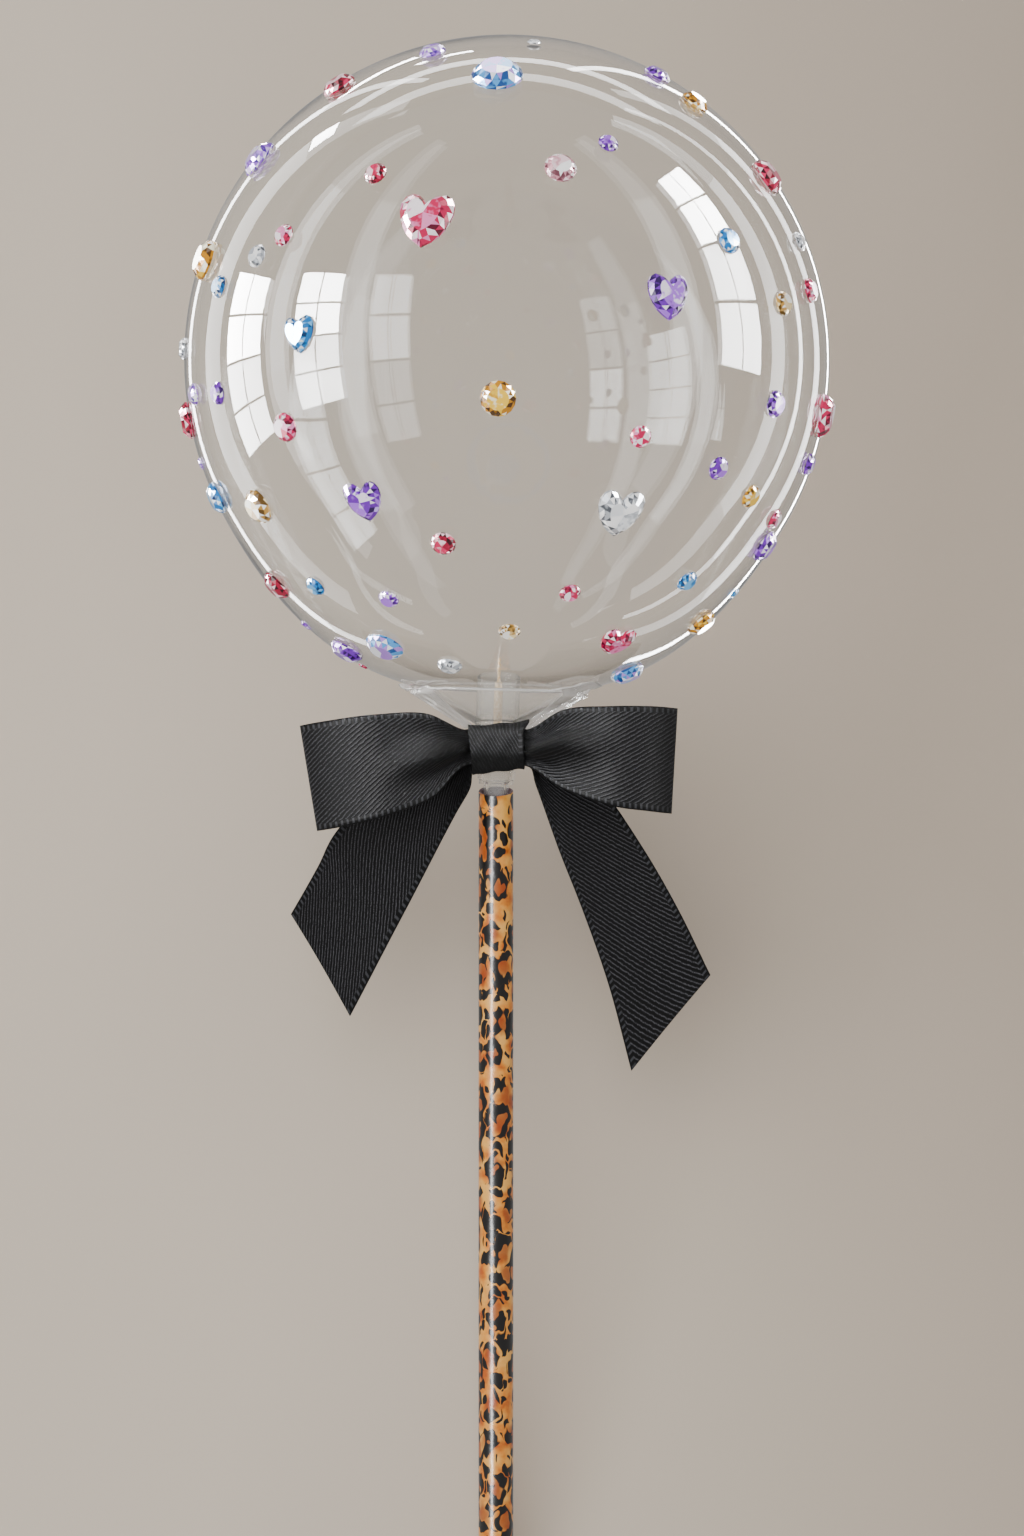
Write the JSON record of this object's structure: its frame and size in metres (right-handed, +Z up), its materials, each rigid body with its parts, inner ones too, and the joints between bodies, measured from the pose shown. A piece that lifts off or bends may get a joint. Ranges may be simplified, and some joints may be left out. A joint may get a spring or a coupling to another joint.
{
  "type": "clear bubble balloon on a stick",
  "caption": "Clear ball balloon set with coloured cut stones, in a clear cup on a printed straw stick with a black ribbon bow, lying down.",
  "frame": {"origin": "bottom centre of the bounding box, on the surface that the part lies on", "axes": "+Y from the stick's free end towards the ball, +Z up, +X across the bow"},
  "size_m": [0.143, 0.3552, 0.142],
  "materials": {
    "film": "clear smooth balloon film",
    "clear_plastic": "clear moulded plastic",
    "pin": "pale satin",
    "stick": "glossy wrap with a spotted animal print in black on amber",
    "ribbon": "black ribbed ribbon with a soft sheen",
    "stone_pink": "cut stone, foil backed",
    "stone_crimson": "cut stone, foil backed",
    "stone_blush": "cut stone, foil backed",
    "stone_lilac": "cut stone, foil backed",
    "stone_purple": "cut stone, foil backed",
    "stone_blue": "cut stone, foil backed",
    "stone_aurora": "cut stone, foil backed",
    "stone_gold": "cut stone, foil backed",
    "stone_champagne": "cut stone, foil backed",
    "stone_clear": "cut stone, foil backed"
  },
  "bodies": {
    "root": {"balloon": "film", "bow_knot": "ribbon", "bow_loops": "ribbon", "bow_tails": "ribbon", "bow_tie": "ribbon", "cup": "clear_plastic", "gem_01_lilac_round": "stone_lilac", "gem_02_aurora_round": "stone_aurora", "gem_03_crimson_round": "stone_crimson", "gem_04_purple_round": "stone_purple", "gem_05_gold_round": "stone_gold", "gem_06_lilac_heart": "stone_lilac", "gem_07_crimson_round": "stone_crimson", "gem_08_blush_round": "stone_blush", "gem_09_purple_round": "stone_purple", "gem_10_crimson_round": "stone_crimson", "gem_11_pink_heart": "stone_pink", "gem_12_pink_round": "stone_pink", "gem_13_clear_round": "stone_clear", "gem_14_gold_round": "stone_gold", "gem_15_blue_round": "stone_blue", "gem_16_clear_round": "stone_clear", "gem_17_blue_round": "stone_blue", "gem_18_purple_heart": "stone_purple", "gem_19_pink_round": "stone_pink", "gem_20_champagne_round": "stone_champagne", "gem_21_blue_heart": "stone_blue", "gem_22_clear_round": "stone_clear", "gem_23_purple_round": "stone_purple", "gem_24_lilac_round": "stone_lilac", "gem_25_gold_round": "stone_gold", "gem_26_purple_round": "stone_purple", "gem_27_crimson_heart": "stone_crimson", "gem_28_pink_round": "stone_pink", "gem_29_pink_heart": "stone_pink", "gem_30_pink_round": "stone_pink", "gem_31_purple_round": "stone_purple", "gem_32_purple_round": "stone_purple", "gem_33_purple_heart": "stone_purple", "gem_34_champagne_round": "stone_champagne", "gem_35_blue_round": "stone_blue", "gem_36_clear_heart": "stone_clear", "gem_37_gold_round": "stone_gold", "gem_38_pink_round": "stone_pink", "gem_39_purple_round": "stone_purple", "gem_40_crimson_round": "stone_crimson", "gem_41_crimson_round": "stone_crimson", "gem_42_blue_round": "stone_blue", "gem_43_purple_round": "stone_purple", "gem_44_pink_round": "stone_pink", "gem_45_blue_round": "stone_blue", "gem_46_gold_round": "stone_gold", "gem_47_champagne_round": "stone_champagne", "gem_48_pink_heart": "stone_pink", "gem_49_aurora_round": "stone_aurora", "gem_50_purple_round": "stone_purple", "gem_51_clear_round": "stone_clear", "gem_52_aurora_round": "stone_aurora", "pin": "pin", "stick": "stick"}
  },
  "joints": []
}
